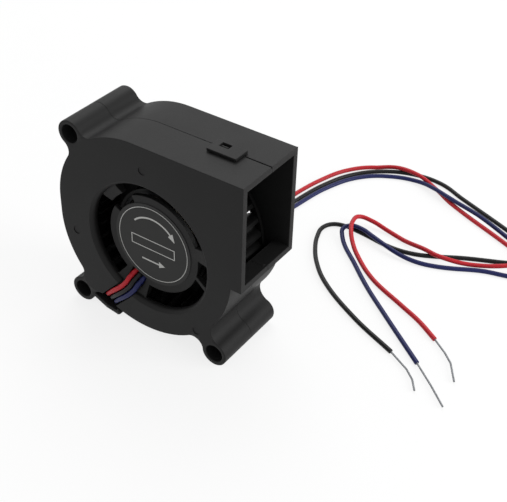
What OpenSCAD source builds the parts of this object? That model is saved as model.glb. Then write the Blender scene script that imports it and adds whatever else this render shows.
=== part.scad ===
// Centrifugal DC blower, 51 x 51 x 20 mm: a two-shell scroll housing, a squirrel-cage impeller on a
// small brushless outer-rotor motor, and three flying leads with tinned ends.
// +X is the way the air leaves, +Z is up, -Y is the side of the motor base and its label.
// The origin is under the middle of the housing, on the plane that the two lower ears stand on.

/* [Housing] */
// Depth of the housing from face to face
case_depth = 20; // [18:0.5:26]
// Height of the housing from the ears' underside to the top
case_height = 51; // [50:0.5:54]
// Distance of the outlet mouth from the rotor axis
mouth_x = 25.5; // [24.5:0.5:30]
// Outer height of the outlet mouth
mouth_height = 26.9; // [25:0.1:27.5]
// Wall thickness of both shells
wall = 1.5; // [1.2:0.1:1.8]
// How far the seam lies behind the middle of the housing
seam_shift = 0.2; // [-0.5:0.1:1]
// Width of the lip that centres the rear cover
lip = 0.7; // [0.5:0.05:0.8]
// Length of the lip
lip_length = 0.8; // [0.4:0.1:1.5]
// Radius of the scroll above the left side
scroll_r_top = 22.5; // [22.5:0.1:23]
// Radius of the scroll below the left side
scroll_r_left = 23.5; // [23.3:0.1:23.7]
// Radius of the scroll under the outlet
scroll_r_right = 24.8; // [22.5:0.1:25]
// Distance from the axis to the right side of the scroll
scroll_reach = 22.8; // [22.6:0.1:23.5]
// Height of the rotor axis above the ears' underside
axis_z = 24.5; // [24.3:0.1:24.7]

/* [Ears] */
// Radius of a mounting ear
ear_r = 3.25; // [3:0.05:3.6]
// Diameter of the ear holes
ear_hole_d = 4.5; // [3.2:0.1:4.6]
// Distance from the axis to the left ears
ear_left = 20.7; // [20.5:0.1:21.2]
// Distance from the axis to the right ear
ear_right = 18.5; // [18:0.1:19]
// Height between the lower and upper ear holes
ear_rise = 43.6; // [43:0.1:44]
// Radius of the hollow fillets between ears and scroll
ear_fillet = 2.6; // [1.8:0.1:3.2]
// Radius of the fillet between the lower right ear and the outlet side
outlet_fillet = 3.5; // [2.6:0.1:4]

/* [Inlets] */
// Radius of both air inlets
inlet_r = 16; // [15:0.1:16]
// Rounding of the inlet lips
inlet_round = 1.2; // [0.6:0.1:1.4]

/* [Motor base] */
// Radius of the motor base disc
base_r = 12.5; // [12:0.1:13]
// How far the base disc lies behind the front face
base_recess = 2.2; // [1.8:0.1:2.4]
// Thickness of the base disc
base_t = 1.1; // [0.8:0.1:1.3]
// Radius of the label
label_r = 10.6; // [9:0.1:10.7]
// Thickness of the label
label_t = 0.12; // [0.08:0.02:0.2]

/* [Impeller] */
// Outer radius of the blade ring
impeller_r = 19.6; // [19:0.1:19.8]
// Inner radius of the blade ring
blade_r_in = 16.2; // [15.8:0.1:17]
// Number of blades
blade_count = 33; // [25:1:37]
// Thickness of a blade
blade_t = 0.5; // [0.4:0.05:0.7]
// Distance of the blade ring from the front face
wheel_front_gap = 2.7; // [2.4:0.1:3.2]
// Distance of the blade ring from the rear face
wheel_back_gap = 2.4; // [2:0.1:3]
// Outer radius of the hub
hub_r = 12.5; // [12.3:0.1:13]
// Thickness of the hub's wall and closed end
hub_wall = 0.9; // [0.7:0.1:1.1]
// Thickness of the web that carries the blades
web_t = 1; // [0.8:0.1:1.4]
// Width of the rings that tie the blade ends
ring_w = 0.9; // [0.6:0.1:1.2]

/* [Motor] */
// Radius of the shaft
shaft_r = 1; // [0.8:0.05:1.2]
// Radial running clearance of the shaft in its bearings
shaft_gap = 0.03; // [0.01:0.01:0.08]
// Outer radius of a bearing
bearing_r = 3; // [2.6:0.1:3.1]
// Width of a bearing
bearing_w = 2.3; // [2:0.1:2.6]
// Wall of the bearing tube
tube_wall = 0.8; // [0.5:0.1:1]
// Wall of the steel yoke
yoke_wall = 0.7; // [0.5:0.1:0.9]
// Thickness of the ring magnet
magnet_t = 1.4; // [1:0.1:1.6]
// Air gap between magnet and stator
air_gap = 0.5; // [0.3:0.05:0.7]
// Width of a stator tooth
tooth_w = 2.2; // [1.8:0.1:2.6]
// Depth of a winding on its tooth
winding = 1; // [0.7:0.1:1.2]

/* [Circuit board] */
// Radius of the circuit board
board_r = 9.2; // [8.8:0.1:9.4]
// Thickness of the circuit board
board_t = 0.8; // [0.6:0.1:1]

/* [Leads] */
// Diameter of a lead over its insulation
lead_d = 1.2; // [1:0.05:1.2]
// Diameter of a tinned strand
strand_d = 0.7; // [0.5:0.05:0.8]
// Distance between neighbouring leads in the wire channel
lead_pitch = 1.35; // [1.3:0.01:1.4]

/* [Hidden] */
$fn = 96;
fuzz = 0.01;
graze = 0.02;

// Planes along the axis, counted from the middle of the housing
face_y = -case_depth / 2;
back_y = case_depth / 2;
seam_y = seam_shift;
base_y = face_y + base_recess;
base_back_y = base_y + base_t;
board_y = base_back_y + 1.7;
board_back_y = board_y + board_t;
hub_front_y = board_y + 0.3;
blade_front_y = face_y + wheel_front_gap;
blade_back_y = back_y - wheel_back_gap;
hub_back_y = blade_back_y - 0.2;
web_y = 0.3;

// Blades: their depth along the radius, and the arc that each follows
blade_span = impeller_r - blade_r_in;
blade_arc = 0.76 * blade_span;

// Rotor axis, and the centres of the three arcs that the scroll outline is made of
axis = [0, axis_z];
left_x = -mouth_x;
ear_top_z = ear_r + ear_rise;
centre_top = [-3, case_height - scroll_r_top];
centre_left = [scroll_r_left - mouth_x, 24.6];
scroll_foot = centre_left.y - scroll_r_left;
centre_right = [scroll_reach - scroll_r_right, scroll_foot + scroll_r_right];
mouth_floor_z = case_height - mouth_height;

// Ears: centre, centre and radius of the scroll arc next to it, and the fillets to its left and
// right, as seen from the ear towards the scroll
ears = [
    [[-ear_left, ear_top_z], centre_top, scroll_r_top, ear_fillet, ear_fillet],
    [[-ear_left, ear_r], centre_left, scroll_r_left, ear_fillet, ear_fillet],
    [[ear_right, ear_r], centre_right, scroll_r_right, ear_fillet, outlet_fillet]
];

// How far the rings' outer faces stand over the blade tips
ring_cover = 0.15;
// Arcs of the front inlet that are open, in degrees from +X towards +Z
open_arcs = [[146, 230], [262.5, 340], [344, 365], [380, 486]];
// The open arc whose end bites into the base disc, and how deep
bite_arc = [477, 510];
bite_r = 10.7;
plate_back_y = face_y + wall;
tie_y = face_y + 2.1;
tie_in = 0.4;
strut_y = face_y + 1.3;
// Width of the ring that the inlet lips are turned on, and how far the seam's lip stops from the mouth
lip_band = inlet_round + 0.6;
lip_stop = 0.6;

// Wire channel: its direction from the motor base, its floor, and the slot that the leads rise through
exit_angle = 246.3;
channel_start = [-6.05, 10.75];
channel_end = [-13.1, 3.1];
channel_w = 2 * lead_pitch + lead_d + 0.4;
channel_floor_y = face_y + lead_d + 0.1;
channel_pad_y = face_y + 2.1;
slot_in = 10.8;
slot_out = 13.9;
notch_depth = 1.3;
notch_length = 3.4;
hook_length = 6;
hook_points = [[-18, 3.4], [-13.4, 1.3], [-10.2, 0.85]];
hook_r = 0.55;
hook_tip = [-9.95, 1.2];
hook_tip_r = 0.75;

// Snap latch on the top wall
latch_x = [11.2, 18.7];
latch_y = [seam_y - 3.2, seam_y + 1.1];
latch_t = 0.8;
latch_gap = 0.1;
latch_window = [2.4, 1.6];
// Catch that the latch snaps over, and the open seam between the latch and the mouth
catch_w = 1.8;
catch_l = 0.9;
catch_h = 0.6;
seam_gap = 0.25;
seam_depth = 0.4;

// Round ejector marks on the front face
mark_r = 1;
mark_depth = 0.15;
marks = [[-0.5, 45.1], [-21.1, 20.7], [13.5, 7.5]];

// Motor
tube_r = bearing_r + tube_wall;
yoke_r = hub_r - hub_wall;
magnet_r = yoke_r - yoke_wall;
core_r = magnet_r - magnet_t - air_gap;
shoe_in = core_r - 1.2;
insulator_t = 0.8;
hub_inside_y = hub_back_y - hub_wall - 0.3;
yoke_end_y = hub_inside_y - yoke_wall;
winding_room = insulator_t + winding + 0.8;
core_y = board_back_y + winding_room;
stack = yoke_end_y - 1.1 - winding_room - core_y;
boss_y = hub_back_y - 2.4;
boss_r = 2.2;
tube_back_y = boss_y - 0.8;
front_bearing_y = base_back_y + 1.1;
rear_bearing_y = tube_back_y - 0.3 - bearing_w;
shaft_front_y = base_back_y + 0.2;
clip_y = shaft_front_y + 0.4;
clip_t = 0.2;
washer_y = clip_y + clip_t + 0.05;
groove_r = 0.7 * shaft_r;
magnet_y = board_back_y + 0.4;
magnet_back_y = yoke_end_y - 1.3;
parts_r = (tube_r + board_r) / 2 + 0.7;
pole_angle = 76;
hole_clear = 0.1;
pad_r = 0.62;
lead_start = 8.6;

// Routes of the leads, from the circuit board through the slot, along the channel, round the hook,
// under the housing and over the table. Round numbers, at the middle of the lead.
black_route = [
    [-3.45, -5.9, 16.6], [-4.1, -5.9, 15.15], [-4.7, -6.4, 13.8], [-5.05, -7.65, 13],
    [-5.4, -8.9, 12.15], [-6.05, -9.4, 10.75], [-11.4, -9.4, 5], [-12.6, -8.7, 3.65],
    [-13.1, -6.9, 3.1], [-13, -1, 3], [-12, 13, 1.2], [-9.5, 27, 0.6], [-2.5, 50, 0.6],
    [0.5, 67, 0.6], [4.5, 77, 0.6], [11, 83, 0.6], [19, 87.6, 0.6], [27, 88.2, 0.6],
    [36, 84, 0.6], [57, 76, 0.6], [65.5, 70.5, 0.6], [59, 65.6, 0.6], [47, 59.2, 0.6],
    [39.5, 54.6, 0.6], [31.5, 52.8, 0.6], [15.5, 53.5, 0.6], [11.8, 50.5, 0.6],
    [12.5, 44.5, 0.6], [23.5, 29.3, 0.6], [49.6, 17.1, 0.6]
];
red_route = [
    [-4.7, -5.9, 17.2], [-5.35, -5.9, 15.7], [-5.95, -6.4, 14.35], [-6.3, -7.65, 13.5],
    [-6.65, -8.9, 12.7], [-7.3, -9.4, 11.3], [-12.6, -9.4, 5.65], [-13.8, -8.7, 4.3],
    [-14.3, -6.9, 3.75], [-14.3, -1, 3.5], [-14, 13, 1.2], [-12, 27, 0.6], [-4.6, 50, 0.6],
    [-1.6, 68, 0.6], [2.2, 78.4, 0.6], [8.5, 84.6, 0.6], [14, 87.2, 1.2], [20, 88.4, 2],
    [25.5, 87.1, 1.8], [37, 81.8, 0.6], [58, 71.2, 0.7], [62.4, 67.9, 1.9], [61.5, 64, 1.9],
    [54, 60, 0.6], [42, 55.9, 1.9], [33, 56.1, 0.6], [23, 58.2, 1.6], [17.7, 56.6, 3.1],
    [18.3, 53.4, 3.2], [20.2, 49.6, 2.2], [25.6, 42.9, 0.6], [56, 27, 0.6]
];
blue_route = [
    [-2.2, -5.9, 16.05], [-2.85, -5.9, 14.6], [-3.45, -6.4, 13.3], [-3.8, -7.65, 12.45],
    [-4.2, -8.9, 11.6], [-4.85, -9.4, 10.2], [-10.2, -9.4, 4.4], [-11.4, -8.7, 3.05],
    [-11.9, -6.9, 2.5], [-11.8, -1, 2.5], [-10.5, 13, 1.2], [-7.5, 27, 0.6], [-1, 49, 0.6],
    [2.3, 68, 0.6], [6.7, 76.8, 0.6], [13, 82, 0.6], [23, 85.4, 0.6], [29.5, 83.6, 0.9],
    [38, 80.6, 1.9], [43, 79.3, 1.9], [58.5, 73, 0.7], [63.9, 69.4, 1.9], [66.4, 66.4, 1.7],
    [64.5, 61.8, 0.6], [49, 55.3, 0.6], [37, 50.6, 0.6], [29, 51.9, 1.7], [24, 53.3, 1.9],
    [19.2, 54.6, 1.9], [15.8, 52.6, 1.9], [20.2, 46.3, 0.6], [33, 33.6, 0.6],
    [56.3, 17.3, 0.6]
];
red_strand = [[56, 27, 0.6], [60, 24.2, 0.6], [62.7, 21.8, 0.6], [66, 16.8, 0.6]];
black_strand = [[49.6, 17.1, 0.6], [55.4, 14, 0.6], [58, 11.8, 0.6], [60, 9, 0.6]];
blue_strand = [[56.3, 17.3, 0.6], [62.4, 12.5, 0.6], [67.4, 8.2, 0.6]];

// Meeting point of two circles, on the left of the line from the first centre to the second
// when side is 1 and on its right when side is -1
function meet(a, ra, b, rb, side) =
    let (d = norm(b - a), u = (b - a) / d, s = (d * d + ra * ra - rb * rb) / (2 * d))
    a + s * u + side * sqrt(ra * ra - s * s) * [-u.y, u.x];

function unit(v) = v / norm(v);
function polar(r, angle) = [r * cos(angle), r * sin(angle)];

// Direction of a route at its point i
function heading(p, i) = unit(p[min(i + 1, len(p) - 1)] - p[max(i - 1, 0)]);

// A vector turned as little as possible so that it stands square to the direction t
function square_to(v, t) = unit(v - (v * t) * t);

// Sideways directions of a route at each of its points, carried along without twist
function sides(p) =
    [for (i = 0, n = square_to([0.3, 0.2, 1], heading(p, 0)); i < len(p);
        i = i + 1, n = i < len(p) ? square_to(n, heading(p, i)) : n) n];

// Round tube of radius r along the points p
module tube_along(p, r, facets = 8) {
    n = sides(p);
    rings = [for (i = [0:len(p) - 1]) let (t = heading(p, i), b = cross(t, n[i]))
        for (k = [0:facets - 1]) p[i] + r * (cos(360 * k / facets) * n[i] + sin(360 * k / facets) * b)];
    last = facets * (len(p) - 1);
    walls = [for (i = [0:len(p) - 2]) for (k = [0:facets - 1])
        let (a = facets * i + k, b = facets * i + (k + 1) % facets)
        [a, a + facets, b + facets, b]];
    start_cap = [[for (k = [0:facets - 1]) k]];
    end_cap = [[for (k = [facets - 1:-1:0]) last + k]];
    polyhedron(concat(rings), concat(walls, start_cap, end_cap));
}

// Extrudes an outline drawn in X and Z from the plane y0 to the plane y1
module between(y0, y1) {
    translate([0, y1, 0]) rotate([90, 0, 0]) linear_extrude(y1 - y0) children();
}

// Turns an outline drawn in radius and Y about the rotor axis
module about_axis() {
    translate([0, 0, axis_z]) rotate([-90, 0, 0]) rotate_extrude() children();
}

// Round ring or disc on the rotor axis
module collar(r_out, r_in, y0, y1) {
    between(y0, y1) translate(axis) difference() {
        circle(r_out);
        if (r_in > 0) circle(r_in);
    }
}

// Piece of a ring between two angles, which are less than 180 degrees apart
module sector(r_in, r_out, from, to) {
    far = 2 * r_out;
    mid = (from + to) / 2;
    intersection() {
        difference() {
            circle(r_out);
            circle(r_in);
        }
        polygon([[0, 0], polar(far, from), polar(far, mid), polar(far, to)]);
    }
}

// Straight arm with round ends, whose sides cross the end circles by a hair
module bar(p, q, r) {
    d = q - p;
    half = r - graze / 2;
    translate(p) circle(r);
    translate(q) circle(r);
    translate(p) rotate(atan2(d.y, d.x)) translate([0, -half]) square([norm(d), 2 * half]);
}

module round_rect(w, h, r) {
    translate([-w / 2 + r, -h / 2]) square([w - 2 * r, h]);
    translate([-w / 2, -h / 2 + r]) square([w, h - 2 * r]);
    for (x = [-1, 1], z = [-1, 1]) translate([x * (w / 2 - r), z * (h / 2 - r)]) circle(r);
}

// Outline of the scroll and its outlet, moved in by inset; the mouth ends at end_x
module scroll(inset, end_x) {
    reach = 2 * mouth_x;
    intersection() {
        translate(centre_top) circle(scroll_r_top - inset);
        translate(centre_top - [reach, 0]) square(reach);
    }
    intersection() {
        translate(centre_left) circle(scroll_r_left - inset);
        translate(centre_left - [reach, reach]) square(reach);
    }
    intersection() {
        translate(centre_right) circle(scroll_r_right - inset);
        translate(centre_right - [0, reach]) square(reach);
    }
    translate([left_x + inset, centre_left.y])
        square([centre_left.x - left_x - inset, centre_top.y - centre_left.y]);
    translate([centre_top.x, mouth_floor_z + inset])
        square([end_x - centre_top.x, mouth_height - 2 * inset]);
    if (centre_right.x > centre_left.x) translate([centre_left.x - graze, scroll_foot + inset])
        square([centre_right.x - centre_left.x + 2 * graze, scroll_r_right]);
    rise = mouth_floor_z + wall - centre_right.y;
    if (rise > 0) translate([centre_top.x, centre_right.y - graze])
        square([centre_right.x + scroll_r_right - inset - centre_top.x, rise + graze]);
}

// An ear with its two hollow fillets, which cross its arc and the scroll's by a hair
module ear(e) {
    c = e[0];
    left = e[3] - graze;
    right = e[4] - graze;
    f1 = meet(c, ear_r + left, e[1], e[2] + left, 1);
    f2 = meet(c, ear_r + right, e[1], e[2] + right, -1);
    translate(c) circle(ear_r);
    difference() {
        polygon([c, f1, e[1], f2]);
        translate(f1) circle(e[3]);
        translate(f2) circle(e[4]);
    }
}

module ear_holes() {
    for (e = ears) translate(e[0]) circle(d = ear_hole_d);
}

module shell_outline() {
    scroll(0, mouth_x);
    for (e = ears) ear(e);
}

// Air space inside the walls, open at the mouth
module air_space(inset) {
    scroll(inset, mouth_x + 1);
}

// Rounded inlet lip between the outer face of a shell, y_face, and the back of its plate, y_back
module inlet_lip(y_face, y_back) {
    inward = sign(y_back - y_face);
    corner_y = y_face + inward * inlet_round;
    about_axis() difference() {
        translate([inlet_r, min(y_face, y_back)]) square([lip_band, abs(y_back - y_face)]);
        difference() {
            translate([inlet_r - 1, inward > 0 ? y_face - 1 : corner_y])
                square([inlet_round + 1, inlet_round + 1]);
            translate([inlet_r + inlet_round, corner_y]) circle(inlet_round);
        }
    }
}

// Plan of the wire channel, from the slot out over the rim
module channel_plan() {
    u = unit(channel_end - channel_start);
    p = channel_start - 1.5 * u;
    intersection() {
        translate(p) rotate(atan2(u.y, u.x)) translate([0, -channel_w / 2])
            square([norm(channel_end - p) + 4, channel_w]);
        translate(centre_left) circle(scroll_r_left + 0.3);
    }
}

// Base disc, and the ring of struts that joins it to the inlet lip, before the openings are cut
module base_profile() {
    polygon([
        [0, base_y], [base_r, base_y], [inlet_r - 0.5, strut_y], [inlet_r + tie_in, strut_y],
        [inlet_r + tie_in, tie_y], [inlet_r - 0.3, tie_y], [inlet_r - 0.8, base_back_y],
        [0, base_back_y]
    ]);
}

module front_openings() {
    for (a = open_arcs) translate(axis) sector(base_r, inlet_r + tie_in / 2, a[0], a[1]);
    translate(axis) sector(bite_r, base_r + 1, bite_arc[0], bite_arc[1]);
    translate(axis) rotate(exit_angle) translate([slot_in, -channel_w / 2])
        square([slot_out - slot_in, channel_w]);
}

// Collar that the bearing tube stands in, and three posts, which carry the circuit board
module base_boss() {
    root_y = base_back_y - base_t / 2;
    collar(tube_r + 1.1, 0, root_y, board_y);
    for (a = [20, 140, 300]) between(root_y, board_y) translate(axis + polar(7.4, a)) circle(0.6);
}

// Motor base with its struts
module motor_base() {
    difference() {
        union() {
            about_axis() base_profile();
            base_boss();
        }
        between(face_y - 1, board_y + 1) front_openings();
        collar(bearing_r - 0.4, 0, face_y - 1, base_back_y + 1);
        collar(tube_r, 0, base_back_y, board_y + 1);
    }
}

// Front wall, scroll wall and ears, hollow inside and open at the inlet and the seam
module front_shell() {
    rebate = wall - lip - 0.05;
    difference() {
        between(face_y, seam_y) shell_outline();
        between(plate_back_y, seam_y + 1) air_space(wall);
        between(seam_y - lip_length - 0.05, seam_y + 1) intersection() {
            air_space(rebate);
            translate([-mouth_x, 0]) square([2 * mouth_x - lip_stop, case_height]);
        }
        collar(inlet_r + lip_band / 2, 0, face_y - 1, plate_back_y + 1);
    }
}

// Thicker floor under the wire channel, and a thicker wall behind its notch
module channel_backing() {
    between(plate_back_y - wall / 2, channel_pad_y) intersection() {
        channel_plan();
        difference() {
            scroll(wall / 2, mouth_x);
            translate(axis) circle(inlet_r + lip_band / 2);
        }
    }
    between(plate_back_y - wall / 2, face_y + notch_length + 0.8) intersection() {
        channel_plan();
        difference() {
            translate(centre_left) circle(scroll_r_left - wall / 2);
            translate(centre_left) circle(scroll_r_left - wall - notch_depth);
        }
    }
}

// Notch in the rim where the leads turn from the channel to the underside
module notch() {
    between(face_y - 1, face_y + notch_length) difference() {
        channel_plan();
        translate(centre_left) circle(scroll_r_left - notch_depth);
    }
}

// Arm that springs from the lower left ear and keeps the leads under the scroll
module hook() {
    between(face_y, face_y + hook_length) {
        bar(hook_points[0], hook_points[1], hook_r);
        bar(hook_points[1], hook_points[2], hook_r);
        translate(hook_tip) circle(hook_tip_r);
    }
}

module front_housing() {
    color("#2b2b2b") difference() {
        union() {
            front_shell();
            inlet_lip(face_y, plate_back_y);
            motor_base();
            channel_backing();
            hook();
            catch();
        }
        between(face_y - 1, seam_y + 1) ear_holes();
        between(face_y - 1, channel_floor_y) channel_plan();
        notch();
        translate([latch_x[1] + 0.3, seam_y - seam_gap, case_height - seam_depth])
            cube([mouth_x, 2 * seam_gap, 1]);
        for (m = marks) between(face_y - 1, face_y + mark_depth) translate(m) circle(mark_r);
    }
}

module rear_cover() {
    plate_y = back_y - wall;
    color("#333333") {
        difference() {
            union() {
                between(seam_y, back_y) shell_outline();
                between(seam_y - lip_length, seam_y + lip_length) intersection() {
                    scroll(wall - lip, mouth_x);
                    translate([-mouth_x, 0]) square([2 * mouth_x - lip_stop - 0.1, case_height]);
                }
                latch();
            }
            between(seam_y - 2, plate_y) air_space(wall);
            collar(inlet_r + lip_band / 2, 0, plate_y - 1, back_y + 1);
            between(seam_y - 1, back_y + 1) ear_holes();
            latch_hole();
        }
        inlet_lip(back_y, plate_y);
    }
}

// Flat tab that reaches from the rear cover over the front shell, a hair above it
module latch() {
    width = latch_x[1] - latch_x[0];
    root_y = seam_y + 0.3;
    translate([latch_x[0], latch_y[0], case_height + latch_gap])
        cube([width, latch_y[1] - latch_y[0], latch_t - latch_gap]);
    translate([latch_x[0], root_y, case_height - wall / 2])
        cube([width, latch_y[1] - root_y, wall / 2 + latch_t / 2]);
}

// Ramp on the front shell that stands up in the latch's window
module catch() {
    back = seam_y - 0.05;
    window_x = latch_x[0] + 1.5;
    translate([window_x + (latch_window[0] - catch_w) / 2, 0, 0]) rotate([90, 0, 90])
        linear_extrude(catch_w) polygon([
            [back - catch_l, case_height - catch_h], [back, case_height - catch_h],
            [back, case_height + catch_h], [back - 0.3, case_height + catch_h],
            [back - catch_l, case_height]
        ]);
}

module latch_hole() {
    translate([latch_x[0] + 1.5, seam_y - 0.9, case_height])
        cube([latch_window[0], latch_window[1], latch_t + 1]);
}

module label() {
    color("#262626") collar(label_r, 0, base_y - label_t, base_y);
}

module bearing_tube() {
    color("#c9a75a") difference() {
        collar(tube_r, bearing_r, base_back_y, tube_back_y);
    }
}

module bearing(y) {
    groove = 0.25;
    shaft_bore = shaft_r + shaft_gap;
    about_axis() difference() {
        translate([shaft_bore, y]) square([bearing_r - shaft_bore, bearing_w]);
        for (end = [y - groove, y + bearing_w - groove])
            translate([shaft_bore + 0.5, end]) square([bearing_r - shaft_bore - 1, 2 * groove]);
    }
}

module front_bearing() {
    color("#b8babd") bearing(front_bearing_y);
}

module rear_bearing() {
    color("#b8babd") bearing(rear_bearing_y);
}

// One stator tooth with its pole shoe, pointing along +X
module tooth(shoe_in, shoe_out, w) {
    translate([tube_r + 0.4, -w / 2]) square([(shoe_in + shoe_out) / 2 - tube_r - 0.4, w]);
    sector(shoe_in, shoe_out, -pole_angle / 2, pole_angle / 2);
}

// Hub with four teeth, around a bore
module stator_plan(shoe_in, shoe_out, w, bore) {
    difference() {
        union() {
            circle(tube_r + 1.2);
            for (a = [0:90:270]) rotate(a) tooth(shoe_in, shoe_out, w);
        }
        if (bore > 0) circle(bore);
    }
}

module stator_core() {
    color("#8d9094") between(core_y, core_y + stack) translate(axis)
        rotate(45) stator_plan(shoe_in, core_r, tooth_w, tube_r);
}

// Insulating end plate from y0 to y1, with a collar and low flanges that reach flange_y
module insulator(y0, y1, flange_y) {
    low = min(y0, flange_y);
    high = max(y1, flange_y);
    difference() {
        union() {
            between(y0, y1) translate(axis) rotate(45)
                stator_plan(shoe_in, core_r - 0.3, tooth_w + 0.4, 0);
            between(low, high) translate(axis) {
                circle(tube_r + 1);
                for (a = [45:90:315]) rotate(a)
                    sector(shoe_in + 0.1, core_r - 0.5, -pole_angle / 2 + 8, pole_angle / 2 - 8);
            }
        }
        collar(tube_r, 0, low - 1, high + 1);
    }
}

module front_insulator() {
    color("#e8e2d0") insulator(core_y - insulator_t, core_y, board_back_y);
}

module rear_insulator() {
    back = core_y + stack;
    color("#e8e2d0") insulator(back, back + insulator_t, back + insulator_t + winding);
}

// Winding around the tooth at the given angle
module coil(angle) {
    core_w = tooth_w + 0.4 + 2 * hole_clear;
    core_h = stack + 2 * insulator_t + 2 * hole_clear;
    start = tube_r + 1.5;
    side = core_w / 2 + winding;
    length = sqrt(shoe_in * shoe_in - side * side) - hole_clear - start;
    mid_y = core_y + stack / 2;
    color("#b5652e") translate([0, mid_y, axis_z]) rotate([0, -angle, 0])
        translate([start, 0, 0]) rotate([90, 0, 90]) linear_extrude(length) difference() {
            round_rect(core_h + 2 * winding - 0.4, 2 * side, 0.6);
            round_rect(core_h, core_w, 0.3);
        }
}

module coil_1() {
    coil(45);
}

module coil_2() {
    coil(135);
}

module coil_3() {
    coil(225);
}

module coil_4() {
    coil(315);
}

module circuit_board() {
    color("#2f6b46") collar(board_r, tube_r + hole_clear, board_y, board_back_y);
}

// Block of size [along the radius, across it, height] on the board at a radius and an angle
module on_board(r, angle, size, y) {
    translate([0, y, axis_z]) rotate([0, -angle, 0]) translate([r - size.x / 2, 0, -size.y / 2])
        cube([size.x, size.z, size.y]);
}

module driver_chip() {
    h = 1;
    color("#222222") on_board(parts_r - 0.6, 80, [3, 4, h], board_y - h);
}

module hall_sensor() {
    color("#222222") on_board(board_r - 1, 0, [1.6, 2.8, 0.8], board_back_y);
}

module capacitor() {
    h = 0.9;
    color("#b79a6a") on_board(parts_r, 170, [1.6, 3.2, h], board_y - h);
}

module resistor() {
    h = 0.5;
    color("#3a3a3a") on_board(parts_r, 335, [1.2, 2, h], board_y - h);
}

// Domes that hold the lead ends on the board
module solder_joints() {
    h = 1.1;
    color("#c9ccd0") for (k = [-1, 0, 1]) translate([0, board_y, axis_z]) rotate([0, -exit_angle, 0])
        translate([lead_start - pad_r, 0, k * lead_pitch]) rotate([90, 0, 0]) {
            cylinder(r = pad_r, h = h - 0.4);
            translate([0, 0, h - 0.4]) cylinder(r1 = pad_r, r2 = pad_r / 2, h = 0.4);
        }
}

// One forward-curved blade in the plane of the wheel; the wheel turns clockwise here
module blade() {
    middle = [blade_r_in + 0.3 * blade_span, 0.4 - blade_arc];
    intersection() {
        difference() {
            circle(impeller_r - ring_cover);
            circle(blade_r_in);
        }
        translate(middle) difference() {
            circle(blade_arc + blade_t / 2, $fn = 64);
            circle(blade_arc - blade_t / 2, $fn = 64);
        }
        translate([blade_r_in - 1, middle.y + 0.6]) square([blade_span + 2, blade_arc]);
    }
}

module impeller() {
    color("#1f1f1f") {
        between(blade_front_y + ring_w / 2, blade_back_y - ring_w / 2) translate(axis)
            for (i = [0:blade_count - 1]) rotate(i * 360 / blade_count) blade();
        for (y = [blade_front_y, blade_back_y - ring_w])
            collar(impeller_r, impeller_r - ring_w, y, y + ring_w);
        collar(blade_r_in + 1.4, hub_r - hub_wall / 2, web_y, web_y + web_t);
        about_axis() hub_profile();
    }
}

// Cup of the hub with a rounded shoulder, and the boss that holds the shaft
module hub_profile() {
    shoulder = 1.2;
    corner = [hub_r - shoulder, hub_back_y - shoulder];
    difference() {
        translate([0, hub_front_y]) square([hub_r, hub_back_y - hub_front_y]);
        translate([boss_r, hub_front_y - 1]) square([yoke_r - boss_r, hub_inside_y - hub_front_y + 1]);
        translate([-1, hub_front_y - 1]) square([boss_r + 2, boss_y - hub_front_y + 1]);
        translate([-1, hub_front_y - 1]) square([shaft_r + 1, hub_back_y - 0.5 - hub_front_y + 1]);
        difference() {
            translate(corner) square(shoulder + 1);
            translate(corner) circle(shoulder);
        }
    }
}

module rotor_yoke() {
    color("#a9acb0") about_axis() {
        translate([magnet_r, hub_front_y + 0.2]) square([yoke_wall, hub_inside_y - hub_front_y - 0.2]);
        translate([boss_r + hole_clear, yoke_end_y])
            square([magnet_r - boss_r - hole_clear + fuzz, yoke_wall]);
    }
}

module ring_magnet() {
    color("#3b3531") collar(magnet_r, magnet_r - magnet_t, magnet_y, magnet_back_y);
}

module shaft() {
    color("#d4d6d9") about_axis() difference() {
        translate([0, shaft_front_y]) square([shaft_r, hub_back_y - 0.5 - shaft_front_y]);
        translate([groove_r, clip_y]) square([1, clip_t]);
        translate([shaft_r, shaft_front_y]) circle(0.25, $fn = 4);
    }
}

// Open ring that snaps into the shaft's groove
module retaining_clip() {
    color("#c4c6c9") between(clip_y, clip_y + clip_t) translate(axis) difference() {
        circle(shaft_r + 0.9);
        circle(groove_r);
        translate([0, -0.8 * groove_r]) square([4, 1.6 * groove_r]);
    }
}

module thrust_washer() {
    color("#efece2") collar(shaft_r + 0.8, shaft_r + 0.05, washer_y, washer_y + 0.2);
}

// Small coil spring that preloads the bearings
module preload_spring() {
    wire = 0.13;
    turns = 2.5;
    r = shaft_r + 0.35;
    y0 = rear_bearing_y + bearing_w + wire + 0.02;
    y1 = boss_y - wire;
    steps = 16 * turns;
    route = [for (i = [0:steps]) let (a = 360 * turns * i / steps)
        [r * cos(a), y0 + (y1 - y0) * i / steps, axis_z + r * sin(a)]];
    color("#d4d6d9") tube_along(route, wire, 6);
}

module red_lead() {
    color("#c5303a") tube_along(red_route, lead_d / 2);
}

module black_lead() {
    color("#242424") tube_along(black_route, lead_d / 2);
}

module blue_lead() {
    color("#2b2f6e") tube_along(blue_route, lead_d / 2);
}

module red_tinned_end() {
    color("#b9bcc0") tube_along(red_strand, strand_d / 2);
}

module black_tinned_end() {
    color("#b9bcc0") tube_along(black_strand, strand_d / 2);
}

module blue_tinned_end() {
    color("#b9bcc0") tube_along(blue_strand, strand_d / 2);
}

front_housing();
rear_cover();
label();
bearing_tube();
front_bearing();
rear_bearing();
stator_core();
front_insulator();
rear_insulator();
coil_1();
coil_2();
coil_3();
coil_4();
circuit_board();
driver_chip();
hall_sensor();
capacitor();
resistor();
solder_joints();
impeller();
rotor_yoke();
ring_magnet();
shaft();
retaining_clip();
thrust_washer();
preload_spring();
red_lead();
black_lead();
blue_lead();
red_tinned_end();
black_tinned_end();
blue_tinned_end();
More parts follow.
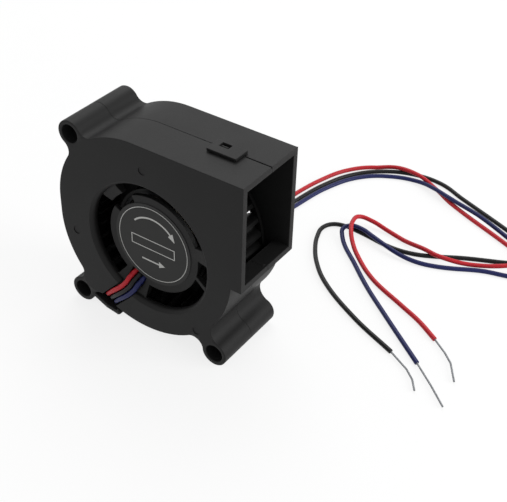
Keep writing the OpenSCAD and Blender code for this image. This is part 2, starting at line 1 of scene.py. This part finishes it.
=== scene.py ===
"""Small centrifugal DC blower with three flying leads, dressed for the frame of its CAD model.

Metres, +X the way the air leaves, +Z up, -Y the side of the motor base and its label."""

from math import cos, inf, pi, radians, sin

import bmesh
import bpy
from mathutils import Matrix, Vector


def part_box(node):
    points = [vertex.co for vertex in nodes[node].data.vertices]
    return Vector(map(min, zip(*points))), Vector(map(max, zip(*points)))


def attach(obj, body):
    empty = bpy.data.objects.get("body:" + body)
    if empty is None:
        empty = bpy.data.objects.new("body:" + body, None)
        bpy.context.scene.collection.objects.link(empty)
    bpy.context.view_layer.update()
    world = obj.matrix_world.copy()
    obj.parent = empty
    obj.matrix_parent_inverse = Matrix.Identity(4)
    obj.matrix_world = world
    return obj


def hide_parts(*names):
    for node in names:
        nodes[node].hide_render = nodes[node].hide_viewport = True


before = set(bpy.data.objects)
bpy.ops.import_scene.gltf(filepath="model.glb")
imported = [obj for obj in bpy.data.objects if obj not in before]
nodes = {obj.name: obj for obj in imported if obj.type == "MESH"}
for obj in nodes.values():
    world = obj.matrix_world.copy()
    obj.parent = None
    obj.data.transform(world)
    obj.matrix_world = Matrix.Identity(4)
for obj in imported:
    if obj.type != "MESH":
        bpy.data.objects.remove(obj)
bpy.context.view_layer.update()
MM = 0.001

# ---------------------------------------------------------------------------------------------
# Front housing: the moulded half that holds the scroll wall, the ears, the motor base on its
# struts, the wire channel and the hook. Glass-filled PBT, black, from a spark-eroded tool: its
# fine texture takes the shine off and its edges are broken by a small radius.


def srgb(code):
    """Linear RGBA of an sRGB hex colour."""
    parts = [int(code[i : i + 2], 16) / 255 for i in (1, 3, 5)]
    return [p / 12.92 if p <= 0.04045 else ((p + 0.055) / 1.055) ** 2.4 for p in parts] + [1]


def add(material, kind, settings=None, values=None, links=None):
    """A new shader node with its settings, socket values and links from other nodes' sockets."""
    node = material.node_tree.nodes.new(kind)
    for name, value in (settings or {}).items():
        setattr(node, name, value)
    for name, value in (values or {}).items():
        node.inputs[name].default_value = value
    for name, socket in (links or {}).items():
        material.node_tree.links.new(socket, node.inputs[name])
    return node


def start_material(name, values):
    """An empty material with its Principled shader, set to values and joined to the output."""
    material = bpy.data.materials.new(name)
    material.use_nodes = True
    material.node_tree.nodes.clear()
    shader = add(material, "ShaderNodeBsdfPrincipled", values=values)
    add(material, "ShaderNodeOutputMaterial", links={"Surface": shader.outputs["BSDF"]})
    return material, shader


# Width of the broad, faint clouds that no made surface is free of
CLOUD = 7 * MM
# How much less and more rough than its own value a surface gets in places
GLOSSIER, DULLER = 0.05, 0.07


def mottled(name, dark, light, size_mm, relief_mm, values, stretch=(1, 1, 1)):
    """A material whose tone and relief vary in cells of size_mm, drawn out by stretch."""
    material, shader = start_material(name, values)
    link = material.node_tree.links.new
    place = add(material, "ShaderNodeTexCoord").outputs["Object"]
    drawn = add(
        material,
        "ShaderNodeMapping",
        values={"Scale": [1 / times for times in stretch]},
        links={"Vector": place},
    )
    # A light or dark cell of Noise is about half a unit of its scaled coordinate wide.
    cells = add(
        material,
        "ShaderNodeTexNoise",
        values={"Scale": 1 / (2 * size_mm * MM), "Detail": 2.0, "Roughness": 0.6},
        links={"Vector": drawn.outputs["Vector"]},
    )
    cloud = add(
        material,
        "ShaderNodeTexNoise",
        values={"Scale": 1 / (2 * CLOUD), "Detail": 2.0, "Distortion": 0.3},
        links={"Vector": place},
    )
    share = add(
        material,
        "ShaderNodeMix",
        values={0: 0.5},
        links={2: cells.outputs["Fac"], 3: cloud.outputs["Fac"]},
    )
    tone = add(
        material,
        "ShaderNodeMix",
        settings={"data_type": "RGBA"},
        values={6: srgb(dark), 7: srgb(light)},
        links={0: share.outputs[0]},
    )
    link(tone.outputs[2], shader.inputs["Base Color"])
    # Noise hardly leaves the range from 0.3 to 0.7.
    gloss = add(
        material,
        "ShaderNodeMapRange",
        values={
            "From Min": 0.3,
            "From Max": 0.7,
            "To Min": values["Roughness"] - GLOSSIER,
            "To Max": values["Roughness"] + DULLER,
        },
        links={"Value": share.outputs[0]},
    )
    link(gloss.outputs["Result"], shader.inputs["Roughness"])
    relief = add(
        material,
        "ShaderNodeBump",
        values={"Strength": 0.7, "Distance": relief_mm * MM},
        links={"Height": cells.outputs["Fac"]},
    )
    link(relief.outputs["Normal"], shader.inputs["Normal"])
    return material


def dress(node, material):
    """Gives a CAD node's own object its material."""
    slots = nodes[node].data.materials
    slots.clear()
    slots.append(material)


def depth_from(edge, face):
    """How far a face reaches from one of its edges."""
    start = edge.verts[0].co
    along = (edge.verts[1].co - start).normalized()
    return max((v.co - start - (v.co - start).dot(along) * along).length for v in face.verts)


# Points closer than WELD are one, and faces that turn less than FLAT are one face.
WELD = 0.002 * MM
FLAT = radians(0.6)
# Edges that turn more than CREASE are rounded, where the faces beside them reach ROOM radii deep.
CREASE = radians(35)
ROOM = 2.3


def soften(node, name, material, radius, outer_radius=0, outer_from=inf):
    """A merged copy of a CAD node of the housing with rounded edges; it stands for the node.

    Edges beyond the plane y = outer_from take outer_radius. Edges of steps that are too shallow
    for it take the small radius or stay sharp."""
    mesh = nodes[node].data.copy()
    mesh.materials.clear()
    mesh.materials.append(material)
    piece = bpy.data.objects.new(name, mesh)
    bpy.context.scene.collection.objects.link(piece)
    shape = bmesh.new()
    shape.from_mesh(mesh)
    bmesh.ops.remove_doubles(shape, verts=shape.verts, dist=WELD)
    bmesh.ops.dissolve_limit(
        shape,
        angle_limit=FLAT,
        use_dissolve_boundaries=False,
        verts=shape.verts,
        edges=shape.edges,
        delimit=set(),
    )
    weight = shape.edges.layers.float.new("bevel_weight_edge")
    widest = max(radius, outer_radius)
    for edge in shape.edges:
        if edge.calc_face_angle(0) > CREASE:
            room = min(depth_from(edge, face) for face in edge.link_faces) / ROOM
            outer = all(vert.co.y > outer_from for vert in edge.verts)
            wanted = outer_radius if outer and room > outer_radius else radius
            edge[weight] = wanted / widest if room > wanted else 0.0
            edge.smooth = room > wanted
    for face in shape.faces:
        face.smooth = True
    bmesh.ops.triangulate(shape, faces=shape.faces, ngon_method="BEAUTY")
    shape.to_mesh(mesh)
    shape.free()
    bevel = piece.modifiers.new("broken_edges", "BEVEL")
    bevel.width = widest
    bevel.segments = 2
    bevel.limit_method = "WEIGHT"
    bevel.use_clamp_overlap = False
    normals = piece.modifiers.new("flat_faces_stay_flat", "WEIGHTED_NORMAL")
    normals.keep_sharp = True
    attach(piece, "housing")
    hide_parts(node)


EDGE_RADIUS = 0.12 * MM
# Black PBT with glass fibre: dull, slightly grey where light grazes it, a little uneven in gloss.
# The spark pits are half as wide in reality, and are drawn at 0.16 mm so that they show.
housing_pbt = mottled(
    "spark_eroded_black_pbt", "#171717", "#1e1e1e", 0.16, 0.012,
    {"IOR": 1.55, "Specular IOR Level": 0.13, "Roughness": 0.5},
)
soften("front_housing", "front_housing_moulding", housing_pbt, EDGE_RADIUS)

# ---------------------------------------------------------------------------------------------
# Motor label: a round film with a satin coat, printed in silver grey and stuck on the base disc.
# The print is plain: a ring, an arrow for the sense of rotation, an empty rating field and an
# arrow for the air stream.

label_low, label_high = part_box("label")
label_centre = (label_low + label_high) / 2
label_radius = (label_high.x - label_low.x) / 2

# Polyester film: flatter and a little shinier than the moulding round it, with shallow waves of
# 1.5 mm from the glue below.
dress(
    "label",
    mottled(
        "satin_polyester_film", "#1a1a1a", "#20201f", 1.5, 0.004,
        {"IOR": 1.57, "Specular IOR Level": 0.16, "Roughness": 0.38},
    ),
)

# Screen-printed silver ink: pale grey, dull, a little thinner in places, in the screen's 0.12 mm
# mesh.
silver_ink = mottled(
    "screen_printed_silver_ink", "#9c9c9a", "#bdbdba", 0.12, 0.003,
    {"Metallic": 0.4, "Roughness": 0.5},
)
INK = 0.008 * MM
RING_R = 0.91 * label_radius
RING_W = 0.16 * MM
RING_STEPS = 96
# The curved arrow, and the head that both arrows have
ARROW_R = 0.66 * label_radius
ARROW_W = 0.42 * MM
ARROW_SPAN = radians(92)
ARROW_STEPS = 24
HEAD_W = 1.7 * MM
HEAD_TURN = radians(17)
# The empty rating field
FIELD_W = 1.14 * label_radius
FIELD_H = 2.5 * MM
FIELD_LINE = 0.22 * MM
FIELD_Z = -0.03 * label_radius
# The straight arrow below it
FLOW_L = 0.62 * label_radius
FLOW_W = 0.4 * MM
FLOW_Z = -0.46 * label_radius


def turned(radius, angle):
    """A point of the label's plane, at an angle from straight up, clockwise as it is read."""
    return label_centre + Vector((radius * sin(angle), 0, radius * cos(angle)))


def ribbon(shape, radius, width, start, sweep, steps):
    """Spins a short radial edge about the label's axis into a flat printed arc."""
    ends = [shape.verts.new(turned(r, start)) for r in (radius - width / 2, radius + width / 2)]
    edge = shape.edges.new(ends)
    bmesh.ops.spin(
        shape,
        geom=[*ends, edge],
        cent=label_centre,
        axis=(0, 1, 0),
        angle=sweep,
        steps=steps,
        use_merge=sweep >= 2 * pi,
    )


def arrow_head(shape, *corners):
    """The printed head of an arrow, a triangle."""
    shape.faces.new([shape.verts.new(corner) for corner in corners])


def bar(shape, x, z, width, height):
    """A printed rectangle, placed by its middle from the label's own."""
    square = bmesh.ops.create_grid(shape, x_segments=1, y_segments=1, size=0.5)["verts"]
    bmesh.ops.scale(shape, vec=(width, height, 1), verts=square)
    bmesh.ops.rotate(shape, matrix=Matrix.Rotation(pi / 2, 3, "X"), verts=square)
    bmesh.ops.translate(shape, vec=label_centre + Vector((x, 0, z)), verts=square)


print_shape = bmesh.new()
ribbon(print_shape, RING_R, RING_W, 0, 2 * pi, RING_STEPS)
ribbon(print_shape, ARROW_R, ARROW_W, -ARROW_SPAN / 2, ARROW_SPAN, ARROW_STEPS)
head_start = ARROW_SPAN / 2
arrow_head(
    print_shape,
    turned(ARROW_R - HEAD_W / 2, head_start),
    turned(ARROW_R + HEAD_W / 2, head_start),
    turned(ARROW_R, head_start + HEAD_TURN),
)
for side in (-1, 1):
    bar(print_shape, 0, FIELD_Z + side * FIELD_H / 2, FIELD_W + FIELD_LINE, FIELD_LINE)
    bar(print_shape, side * FIELD_W / 2, FIELD_Z, FIELD_LINE, FIELD_H - FIELD_LINE)
bar(print_shape, -HEAD_W / 2, FLOW_Z, FLOW_L - HEAD_W, FLOW_W)
flow_tip = label_centre + Vector((FLOW_L / 2, 0, FLOW_Z))
arrow_head(
    print_shape,
    flow_tip,
    flow_tip + Vector((-HEAD_W, 0, HEAD_W / 2)),
    flow_tip + Vector((-HEAD_W, 0, -HEAD_W / 2)),
)
# All of it lies on the film and faces the viewer of the label.
for vert in print_shape.verts:
    vert.co.y = label_low.y
for face in print_shape.faces:
    face.normal_update()
    if face.normal.y > 0:
        face.normal_flip()
print_mesh = bpy.data.meshes.new("label_print")
print_shape.to_mesh(print_mesh)
print_shape.free()
print_mesh.materials.append(silver_ink)
label_print = bpy.data.objects.new("label_print", print_mesh)
bpy.context.scene.collection.objects.link(label_print)
ink_layer = label_print.modifiers.new("ink_layer", "SOLIDIFY")
ink_layer.thickness = INK
ink_layer.offset = 1
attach(label_print, "housing")

# ---------------------------------------------------------------------------------------------
# Bearing tube and bearings: a turned brass tube pressed into the base, and two small ball
# bearings whose ground rings and shields sit flush in its ends.

# Free-turned brass: bright, with tool marks 0.08 mm apart round the axis.
dress(
    "bearing_tube",
    mottled(
        "turned_brass", "#b08d3e", "#cfae62", 0.08, 0.003,
        {"Metallic": 1.0, "Roughness": 0.28}, stretch=(12, 1, 12),
    ),
)
# Ground bearing steel: close to a mirror, a trace of grinding lines round the axis. They are drawn
# 0.05 mm apart, which is coarser than they are.
bearing_steel = mottled(
    "ground_bearing_steel", "#9fa3a8", "#c3c6ca", 0.05, 0.002,
    {"Metallic": 1.0, "Roughness": 0.22}, stretch=(12, 1, 12),
)
for node in ("front_bearing", "rear_bearing"):
    dress(node, bearing_steel)

# ---------------------------------------------------------------------------------------------
# Stator: a stack of stamped laminations between two nylon end plates, with four windings of
# enamelled copper wire, pressed on the bearing tube.


def banded(name, dark, light, pitch_mm, relief_mm, axis, values):
    """A material laid in bands of pitch_mm across one axis: stacked sheets or wound wire."""
    material, shader = start_material(name, values)
    link = material.node_tree.links.new
    place = add(material, "ShaderNodeTexCoord").outputs["Object"]
    # A Wave texture repeats each 2 pi / 20 of its scaled coordinate.
    bands = add(
        material,
        "ShaderNodeTexWave",
        settings={"wave_type": "BANDS", "bands_direction": axis},
        values={"Scale": 2 * pi / 20 / (pitch_mm * MM), "Distortion": 0.4, "Detail": 1.0},
        links={"Vector": place},
    )
    tone = add(
        material,
        "ShaderNodeMix",
        settings={"data_type": "RGBA"},
        values={6: srgb(dark), 7: srgb(light)},
        links={0: bands.outputs["Fac"]},
    )
    relief = add(
        material,
        "ShaderNodeBump",
        values={"Strength": 0.8, "Distance": relief_mm * MM},
        links={"Height": bands.outputs["Fac"]},
    )
    link(tone.outputs[2], shader.inputs["Base Color"])
    link(relief.outputs["Normal"], shader.inputs["Normal"])
    return material


# Electrical steel, 0.35 mm sheets: grey oxide on the edges, a dark line at each joint.
dress(
    "stator_core",
    banded(
        "stacked_electrical_steel", "#4c4f53", "#8b8e93", 0.35, 0.03, "Y",
        {"Metallic": 1.0, "Roughness": 0.45},
    ),
)
# Natural nylon: ivory, softly shining, with flow marks of 0.3 mm.
natural_nylon = mottled(
    "natural_nylon", "#d9d2bb", "#ece6d4", 0.3, 0.006, {"IOR": 1.53, "Roughness": 0.42}
)
for node in ("front_insulator", "rear_insulator", "thrust_washer"):
    dress(node, natural_nylon)
# Enamelled copper, 0.2 mm wire laid side by side: red-brown metal under clear enamel.
enamelled_copper = banded(
    "enamelled_copper_wire", "#5e2c12", "#b5652e", 0.2, 0.06, "DIAGONAL",
    {"Metallic": 1.0, "Roughness": 0.3, "Coat Weight": 0.5, "Coat Roughness": 0.15},
)
for number in range(1, 5):
    dress(f"coil_{number}", enamelled_copper)

# ---------------------------------------------------------------------------------------------
# Circuit board: a round glass-epoxy board under the stator with the driver, the Hall sensor, two
# chip parts and the three soldered lead ends.

# Green solder mask over glass weave, 0.5 mm cells: glossy, slightly uneven.
dress(
    "circuit_board",
    mottled("green_solder_mask", "#1f5636", "#2f6f48", 0.5, 0.01, {"IOR": 1.55, "Roughness": 0.24}),
)
# Moulded epoxy: near black, dull, grained by a filler of 0.08 mm.
moulded_epoxy = mottled(
    "moulded_epoxy", "#1c1c1d", "#29292a", 0.08, 0.004, {"IOR": 1.56, "Roughness": 0.55}
)
for node in ("driver_chip", "hall_sensor", "resistor"):
    dress(node, moulded_epoxy)
# Fired ceramic: tan, smooth and a little glossy, with a grain of 0.15 mm.
dress(
    "capacitor",
    mottled("fired_ceramic", "#a3865a", "#c2a576", 0.15, 0.003, {"IOR": 1.7, "Roughness": 0.3}),
)
# Tin solder, set from the melt: bright, with soft ripples of 0.2 mm.
dress(
    "solder_joints",
    mottled("tin_solder", "#a9adb2", "#d0d3d7", 0.2, 0.02, {"Metallic": 1.0, "Roughness": 0.25}),
)

# ---------------------------------------------------------------------------------------------
# Rotor: a squirrel-cage wheel moulded over a drawn steel yoke with a ring magnet, on a ground
# shaft held by a clip, a washer and a preload spring. It turns as one piece.

# Black PBT from a polished tool, smoother than the housing, with flow marks of 0.2 mm; its colour
# is darker, as painted shade inside the scroll.
wheel_pbt_with_painted_shade = mottled(
    "polished_tool_black_pbt_with_painted_shade", "#0c0c0c", "#111111", 0.2, 0.006,
    {"IOR": 1.55, "Specular IOR Level": 0.1, "Roughness": 0.42},
)
dress("impeller", wheel_pbt_with_painted_shade)
# Deep-drawn steel with a black phosphate coat: charcoal, nearly dull, with faint lines along the
# axis, 0.1 mm apart.
dress(
    "rotor_yoke",
    mottled(
        "black_phosphated_drawn_steel", "#222325", "#2f3032", 0.1, 0.004,
        {"Metallic": 0.4, "Roughness": 0.55}, stretch=(1, 10, 1),
    ),
)
# Bonded ferrite: charcoal brown, without shine, with grains of 0.12 mm.
dress(
    "ring_magnet",
    mottled("bonded_ferrite", "#2b2623", "#403934", 0.12, 0.01, {"Roughness": 0.68}),
)
# Ground and polished steel: nearly a mirror, with its lines drawn coarser than they are.
polished_steel = mottled(
    "polished_steel", "#b3b6ba", "#d4d6d9", 0.05, 0.001,
    {"Metallic": 1.0, "Roughness": 0.16}, stretch=(8, 1, 8),
)
for node in ("shaft", "retaining_clip", "preload_spring"):
    dress(node, polished_steel)

# ---------------------------------------------------------------------------------------------
# Rear cover: the second moulding, with the rear inlet, its share of the ears and of the mouth,
# and the flat latch that reaches over the seam. Same black PBT.

BACK_RADIUS = 0.35 * MM
# Edges this close to the cover's back face are its outer ones
BACK_ZONE = 0.1 * MM
soften(
    "rear_cover",
    "rear_cover_moulding",
    housing_pbt,
    EDGE_RADIUS,
    outer_radius=BACK_RADIUS,
    outer_from=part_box("rear_cover")[1].y - BACK_ZONE,
)

# ---------------------------------------------------------------------------------------------
# Leads: three stranded wires in extruded PVC, 1.2 mm thick, from the circuit board through the
# slot in the motor base, along the wire channel and round the hook, then loose on the table.
# Each ends stripped, its strands twisted and tinned.

LEAD_D = 1.2 * MM
# Routes in millimetres, from the board to where the insulation ends
lead_routes = {
    "black": [
        [-3.45, -5.9, 16.6], [-4.1, -5.9, 15.15], [-4.7, -6.4, 13.8], [-5.05, -7.65, 13],
        [-5.4, -8.9, 12.15], [-6.05, -9.4, 10.75], [-11.4, -9.4, 5], [-12.6, -8.7, 3.65],
        [-13.1, -6.9, 3.1], [-13, -1, 3], [-12, 13, 1.2], [-9.5, 27, 0.6], [-2.5, 50, 0.6],
        [0.8, 67, 0.6], [4.7, 76.5, 0.6], [11, 83.4, 0.6], [18.8, 87.3, 0.6], [27.3, 87.8, 0.6],
        [36, 84.4, 0.6], [57, 76, 0.6], [63.4, 73, 0.6], [65.2, 69.8, 0.6], [61.6, 66.8, 0.6],
        [47.4, 59.4, 0.6], [41.4, 55.8, 0.6], [36.5, 53.5, 0.6], [31, 52.5, 0.6],
        [20.4, 53.5, 0.6], [16, 53.6, 0.6], [12.6, 52.2, 0.6], [11.3, 49.4, 0.6],
        [12.1, 45.4, 0.6], [14.6, 40.2, 0.6], [18.4, 35, 0.6], [23.7, 30, 0.6],
        [36.5, 22.5, 0.6], [49.6, 17.1, 0.6],
    ],
    "red": [
        [-4.7, -5.9, 17.2], [-5.35, -5.9, 15.7], [-5.95, -6.4, 14.35], [-6.3, -7.65, 13.5],
        [-6.65, -8.9, 12.7], [-7.3, -9.4, 11.3], [-12.6, -9.4, 5.65], [-13.8, -8.7, 4.3],
        [-14.3, -6.9, 3.75], [-14.3, -1, 3.5], [-14, 13, 1.2], [-12, 27, 0.6], [-4.8, 50, 0.6],
        [-1.4, 68, 0.6], [2.4, 77.8, 0.6], [8.5, 84.2, 0.6], [14.6, 86.2, 1.8], [20.9, 86, 2],
        [27.5, 84.2, 0.9], [34, 80.6, 0.6], [55, 71.8, 0.6], [60.8, 69.2, 1.4], [62.4, 66.8, 1.9],
        [60.4, 63.4, 1.9], [51, 57.9, 1], [43.4, 54.9, 2], [38.4, 55.6, 1.8], [31.6, 57.2, 0.7],
        [25.9, 58.2, 1], [21.4, 58.3, 1.9], [18, 57, 2.7], [17.9, 53.8, 3.1],
        [19.7, 49.7, 2.9], [22.1, 46.6, 2], [25.2, 43.7, 1.2], [33.1, 38, 0.6],
        [43.9, 33.2, 0.6], [49.9, 30.6, 0.6], [56, 27, 0.6],
    ],
    "blue": [
        [-2.2, -5.9, 16.05], [-2.85, -5.9, 14.6], [-3.45, -6.4, 13.3], [-3.8, -7.65, 12.45],
        [-4.2, -8.9, 11.6], [-4.85, -9.4, 10.2], [-10.2, -9.4, 4.4], [-11.4, -8.7, 3.05],
        [-11.9, -6.9, 2.5], [-11.8, -1, 2.5], [-10.5, 13, 1.2], [-7.5, 27, 0.6], [-1, 49, 0.6],
        [2.5, 67, 0.6], [6.8, 76.2, 0.6], [13.4, 82, 0.6], [21.6, 84.4, 0.9], [28.6, 82.4, 1.9],
        [35.4, 80.3, 1.9], [43, 78.2, 1.9], [57.8, 73, 0.7], [64, 69.8, 1.9], [66.4, 66.2, 1.8],
        [64.4, 61.9, 0.6], [53.6, 57.4, 0.6], [45.9, 53.2, 0.6], [41.6, 51.5, 0.6],
        [37.8, 50.6, 0.8], [34, 50.4, 1.2], [29.6, 51, 1.7], [25, 52.3, 1.9], [20.9, 53.5, 1.9],
        [18, 53.2, 1.9], [16.6, 51.2, 1.7], [17.6, 48.9, 1.1], [26.7, 40.3, 0.6],
        [33.7, 34.2, 0.6], [41.3, 28.4, 0.6], [56.3, 17.3, 0.6],
    ],
}
# The darker and the lighter tone of each insulation
lead_colours = {
    "black": ("#0f0f10", "#171718"),
    "red": ("#ac1c28", "#c02a32"),
    "blue": ("#171c48", "#20265a"),
}
# Length of a curve's handles, as a share of the way to the next point
PULL = 0.37


def in_metres(route):
    """The points of a route as vectors."""
    return [Vector(place) * MM for place in route]


def wire(name, route, material):
    """A smooth round wire through the points of a route, nowhere higher or lower than they are."""
    curve = bpy.data.curves.new(name, "CURVE")
    curve.dimensions = "3D"
    curve.bevel_depth = LEAD_D / 2
    curve.bevel_resolution = 5
    curve.resolution_u = 10
    curve.use_fill_caps = True
    spline = curve.splines.new("BEZIER")
    spline.bezier_points.add(len(route) - 1)
    last = len(route) - 1
    for i, (point, place) in enumerate(zip(spline.bezier_points, route)):
        before, after = route[max(i - 1, 0)], route[min(i + 1, last)]
        along = ((after - place).normalized() + (place - before).normalized()).normalized()
        point.co = place
        for handle, neighbour, sign in (("handle_left", before, -1), ("handle_right", after, 1)):
            end = place + sign * PULL * (neighbour - place).length * along
            low, high = sorted((place.z, neighbour.z))
            end.z = min(max(end.z, low), high)
            setattr(point, handle, end)
    curve.materials.append(material)
    piece = bpy.data.objects.new(name, curve)
    bpy.context.scene.collection.objects.link(piece)
    return piece


# The bared ends: the bundle of strands, and the length in which it twists once
STRAND_D = 0.5 * MM
TWIST = 4 * MM
STRANDS_ROUND = 6
# Steps of a strand between two points of its route
STRAND_STEPS = 14
strand_routes = {
    "black": [[49.6, 17.1, 0.6], [55.4, 14, 0.6], [58, 11.8, 0.6], [60, 9, 0.6]],
    "red": [[56, 27, 0.6], [60, 24.2, 0.6], [62.7, 21.8, 0.6], [66, 16.8, 0.6]],
    "blue": [[56.3, 17.3, 0.6], [62.4, 12.5, 0.6], [67.4, 8.2, 0.6]],
}


def twisted(name, route, material):
    """A core strand and the others twisted round it along a level route, as one piece."""
    curve = bpy.data.curves.new(name, "CURVE")
    curve.dimensions = "3D"
    curve.bevel_depth = STRAND_D / 6
    curve.bevel_resolution = 2
    curve.use_fill_caps = True
    path = []
    for start, end in zip(route, route[1:]):
        path += [start.lerp(end, i / STRAND_STEPS) for i in range(STRAND_STEPS)]
    path.append(route[-1])
    last = len(path) - 1
    for strand in range(STRANDS_ROUND + 1):
        # The last strand is the core.
        lay_radius = STRAND_D / 3 if strand < STRANDS_ROUND else 0
        spline = curve.splines.new("POLY")
        spline.points.add(last)
        gone = 0
        for i, place in enumerate(path):
            before, after = path[max(i - 1, 0)], path[min(i + 1, last)]
            along = (after - before).normalized()
            gone += (place - before).length
            turn = 2 * pi * (strand / STRANDS_ROUND + gone / TWIST)
            across = along.cross(Vector((0, 0, 1))).normalized()
            offset = cos(turn) * across + sin(turn) * across.cross(along)
            spline.points[i].co = (*(place + lay_radius * offset), 1)
    curve.materials.append(material)
    piece = bpy.data.objects.new(name, curve)
    bpy.context.scene.collection.objects.link(piece)
    return piece


# Tinned copper: a grey metal, brighter where the tin is smooth, in patches of 0.15 mm.
tinned_copper = mottled(
    "tinned_copper", "#6c6e71", "#a0a2a5", 0.15, 0.006, {"Metallic": 1.0, "Roughness": 0.36}
)

for colour in lead_routes:
    # Extruded PVC: smooth and slightly waxy, with a soft gloss and faint marks of 0.4 mm.
    insulation = mottled(
        "extruded_pvc_" + colour, *lead_colours[colour], 0.4, 0.008,
        {"IOR": 1.53, "Specular IOR Level": 0.18, "Roughness": 0.36},
    )
    points = in_metres(lead_routes[colour])
    lead = wire("lead_" + colour, points, insulation)
    strands = twisted("tinned_strands_" + colour, in_metres(strand_routes[colour]), tinned_copper)
    for piece, node, slot in (
        (lead, "_lead", colour + "_pvc"),
        (strands, "_tinned_end", "tinned_strand"),
    ):
        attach(piece, "housing")
        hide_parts(colour + node)

# ---------------------------------------------------------------------------------------------
# Table, light and camera. A plain white table that carries the object's shadow, a soft lamp high
# behind the object and one on the outlet's side, and a long lens that looks down at the label.

TABLE_SIDE = 3.0
# How much of the table looks plain white by itself; the rest is paint that takes shadows
WHITE_SHARE = 0.8
table_shape = bmesh.new()
bmesh.ops.create_grid(table_shape, x_segments=1, y_segments=1, size=TABLE_SIDE / 2)
table_mesh = bpy.data.meshes.new("table_top")
table_shape.to_mesh(table_mesh)
table_shape.free()
table = bpy.data.objects.new("table_top", table_mesh)
bpy.context.scene.collection.objects.link(table)


def seen_directly(owner):
    """1 for rays that look at the surface or the world, also in a mirror or through glass."""
    rays = add(owner, "ShaderNodeLightPath").outputs
    seen = rays["Is Camera Ray"]
    for kind in ("Is Glossy Ray", "Is Transmission Ray"):
        either = add(
            owner,
            "ShaderNodeMath",
            settings={"operation": "MAXIMUM"},
            links={0: seen, 1: rays[kind]},
        )
        seen = either.outputs[0]
    return seen


# White matt paint that looks white all over and still carries a part of the shadows.
table_paint, paint_shader = start_material(
    "white_matt_paint", {"Base Color": srgb("#f8f8f8"), "Roughness": 0.8}
)
plain_white = add(
    table_paint, "ShaderNodeEmission", values={"Color": srgb("#ffffff"), "Strength": 1.0}
)
white_part = add(
    table_paint,
    "ShaderNodeMath",
    settings={"operation": "MULTIPLY"},
    values={1: WHITE_SHARE},
    links={0: seen_directly(table_paint)},
)
table_surface = add(
    table_paint,
    "ShaderNodeMixShader",
    links={0: white_part.outputs[0], 1: paint_shader.outputs[0], 2: plain_white.outputs[0]},
)
table_paint.node_tree.links.new(
    table_surface.outputs[0],
    table_paint.node_tree.nodes["Material Output"].inputs["Surface"],
)
table_mesh.materials.append(table_paint)

# The studio round it shows white, and lights the object evenly at the strength SKY.
SKY = 0.55
world = bpy.data.worlds.new("white_studio")
bpy.context.scene.world = world
world.use_nodes = True
world_light = world.node_tree.nodes["Background"].inputs
world_light["Color"].default_value = srgb("#ffffff")
sky_level = add(
    world,
    "ShaderNodeMapRange",
    values={"To Min": SKY, "To Max": 1.0},
    links={"Value": seen_directly(world)},
)
world.node_tree.links.new(sky_level.outputs["Result"], world_light["Strength"])


def soft_lamp(name, place, aim, size, power):
    """A square soft box that points at aim."""
    lamp = bpy.data.lights.new(name, "AREA")
    lamp.size = size
    lamp.energy = power
    piece = bpy.data.objects.new(name, lamp)
    piece.location = place
    piece.rotation_euler = (Vector(aim) - Vector(place)).to_track_quat("-Z", "Y").to_euler()
    bpy.context.scene.collection.objects.link(piece)


housing_low, housing_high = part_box("front_housing")
housing_middle = (housing_low + housing_high) / 2
soft_lamp("key_lamp", (-0.25, 0.4, 0.65), housing_middle, size=0.5, power=2.3)
soft_lamp("side_lamp", (0.6, 0.2, 0.3), housing_middle, size=0.4, power=3.0)

# The viewer stands to the right of the motor side and looks down at it. Angles are degrees, counted
# from the motor side towards the outlet, up from the table, and about the line of sight.
VIEW_AZIMUTH = 33.34
VIEW_ELEVATION = 37.53
VIEW_ROLL = 1.92
VIEW_DISTANCE = 230 * MM
LOOK_AT = Vector((20.3, 2.2, 25.9)) * MM
# In millimetres, on a sensor 36 mm wide
FOCAL_LENGTH = 74.02
camera_data = bpy.data.cameras.new("camera")
camera_data.lens = FOCAL_LENGTH
camera_data.clip_start = 0.01
camera = bpy.data.objects.new("camera", camera_data)
bpy.context.scene.collection.objects.link(camera)
camera_turn = (
    Matrix.Rotation(radians(VIEW_AZIMUTH), 4, "Z")
    @ Matrix.Rotation(radians(90 - VIEW_ELEVATION), 4, "X")
    @ Matrix.Rotation(radians(VIEW_ROLL), 4, "Z")
)
camera.matrix_world = (
    Matrix.Translation(LOOK_AT) @ camera_turn @ Matrix.Translation((0, 0, VIEW_DISTANCE))
)
bpy.context.scene.camera = camera
bpy.context.scene.view_settings.view_transform = "Standard"
